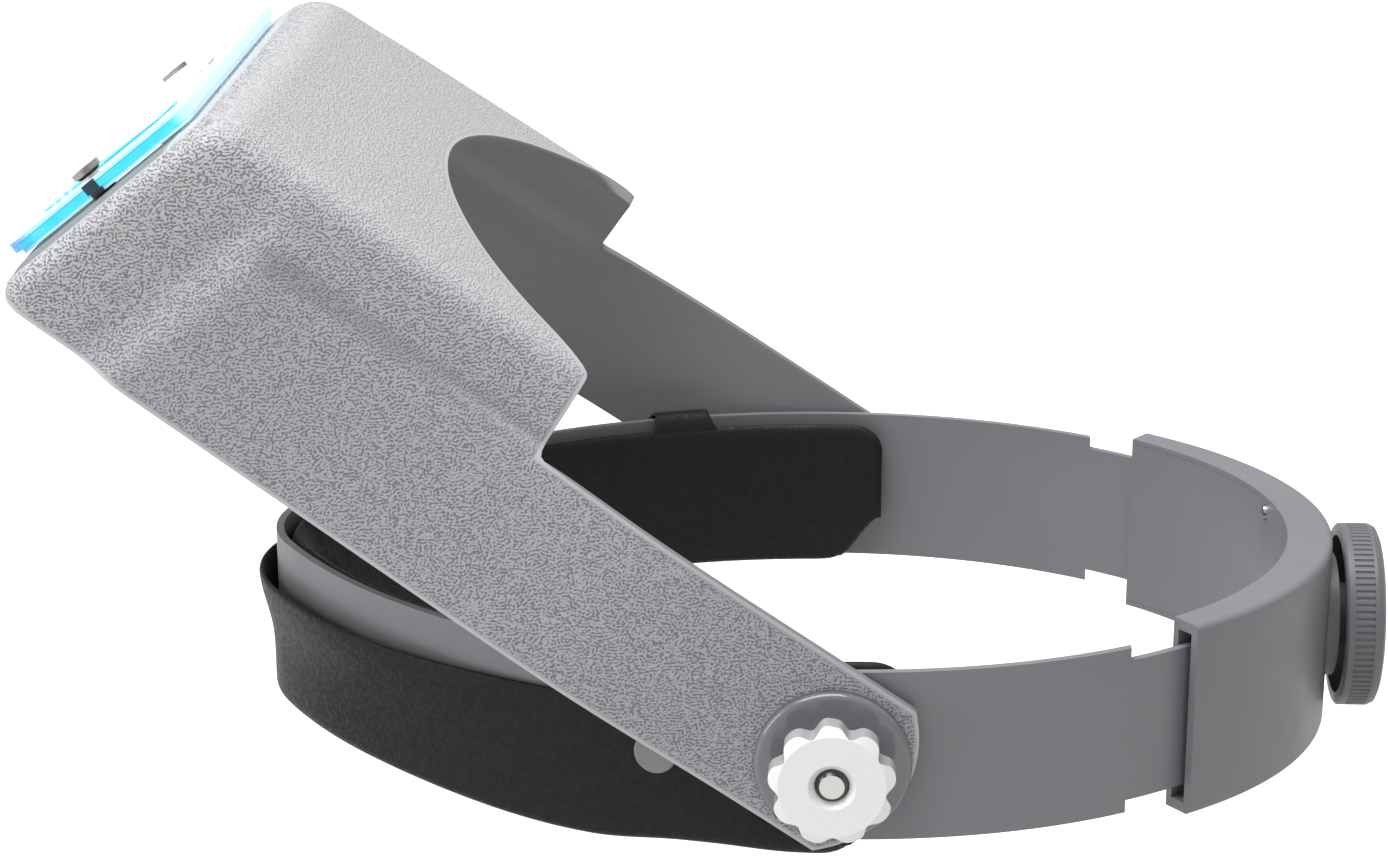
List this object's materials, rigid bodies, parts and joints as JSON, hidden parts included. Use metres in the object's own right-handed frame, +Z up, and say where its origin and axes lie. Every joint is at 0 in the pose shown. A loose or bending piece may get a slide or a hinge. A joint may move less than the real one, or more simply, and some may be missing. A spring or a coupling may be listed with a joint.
{
  "type": "head visor magnifier",
  "caption": "Headband visor whose tilting grained hood carries a clear lens plate, with thumb-knob pivots, a leather-look sweatband and a rear size adjuster.",
  "frame": {"origin": "middle of the visor's pivot axis, inside the head opening", "axes": "+X to the wearer's left, +Y to the back of the head, +Z up"},
  "size_m": [0.1768, 0.2547, 0.1291],
  "materials": {
    "shell_grey": "mid grey moulded plastic with a fine leather grain outside and smooth cut edges",
    "plate_blue": "clear plastic with a bright blue tint, polished edges",
    "lens_clear": "clear polished lens",
    "black_steel": "black oxide screws, nuts and spacers",
    "bright_steel": "plated steel",
    "strap_grey": "smooth satin grey plastic",
    "housing_grey": "smooth satin grey plastic",
    "knob_grey": "smooth satin dark grey plastic",
    "black_leather": "black synthetic leather with a fine grain",
    "stud_grey": "grey painted snap studs",
    "black_rubber": "black rubber friction washers",
    "disc_grey": "glossy grey plastic",
    "knob_white": "white moulded plastic",
    "nylon_white": "natural nylon"
  },
  "bodies": {
    "headband": {"headband_strap": "strap_grey", "sweatband": "black_leather", "band_studs": "stud_grey", "stud_sockets": "stud_grey", "left_pivot_bolt": "bright_steel", "right_pivot_bolt": "bright_steel", "left_friction_washer": "black_rubber", "right_friction_washer": "black_rubber", "rear_housing": "housing_grey", "rear_cover": "housing_grey", "cover_screws": "bright_steel", "pinion_spring": "bright_steel"},
    "visor": {"visor_shell": "shell_grey", "lens_plate": "plate_blue", "left_lens": "lens_clear", "right_lens": "lens_clear", "lens_spacers": "black_steel", "lens_washers": "bright_steel", "lens_screws": "black_steel", "lens_nuts": "black_steel", "left_slip_ring": "disc_grey", "right_slip_ring": "disc_grey", "left_pivot_disc": "disc_grey", "right_pivot_disc": "disc_grey"},
    "left_thumb_knob": {"left_pivot_knob": "knob_white"},
    "right_thumb_knob": {"right_pivot_knob": "knob_white"},
    "adjuster": {"adjust_knob": "knob_grey", "adjust_pinion": "nylon_white", "pinion_screw": "bright_steel"},
    "left_strap_rack": {"left_rack": "strap_grey"},
    "right_strap_rack": {"right_rack": "strap_grey"}
  },
  "joints": [
    {"name": "visor_tilt", "type": "hinge", "parent": "headband", "child": "visor", "pos_m": [0, 0, 0], "axis": [1, 0, 0], "range_deg": [-30, 50]},
    {"name": "left_knob_turn", "type": "hinge", "parent": "headband", "child": "left_thumb_knob", "pos_m": [0.0825, 0, 0], "axis": [1, 0, 0], "continuous": true},
    {"name": "right_knob_turn", "type": "hinge", "parent": "headband", "child": "right_thumb_knob", "pos_m": [-0.0825, 0, 0], "axis": [1, 0, 0], "continuous": true},
    {"name": "adjust_turn", "type": "hinge", "parent": "headband", "child": "adjuster", "pos_m": [0, 0.1, 0], "axis": [0, 1, 0], "range_deg": [-100, 100]},
    {"name": "right_rack_slide", "type": "hinge", "parent": "headband", "child": "right_strap_rack", "pos_m": [0, 0.026, 0], "axis": [0, 0, 1], "range_deg": [-8.2, 8.2]},
    {"name": "left_rack_slide", "type": "hinge", "parent": "headband", "child": "left_strap_rack", "pos_m": [0, 0.026, 0], "axis": [0, 0, 1], "range_deg": [-8.2, 8.2]}
  ],
  "couplings": [
    {"joint": "right_rack_slide", "follows": "adjust_turn", "ratio": -0.078616},
    {"joint": "left_rack_slide", "follows": "adjust_turn", "ratio": 0.076923}
  ]
}
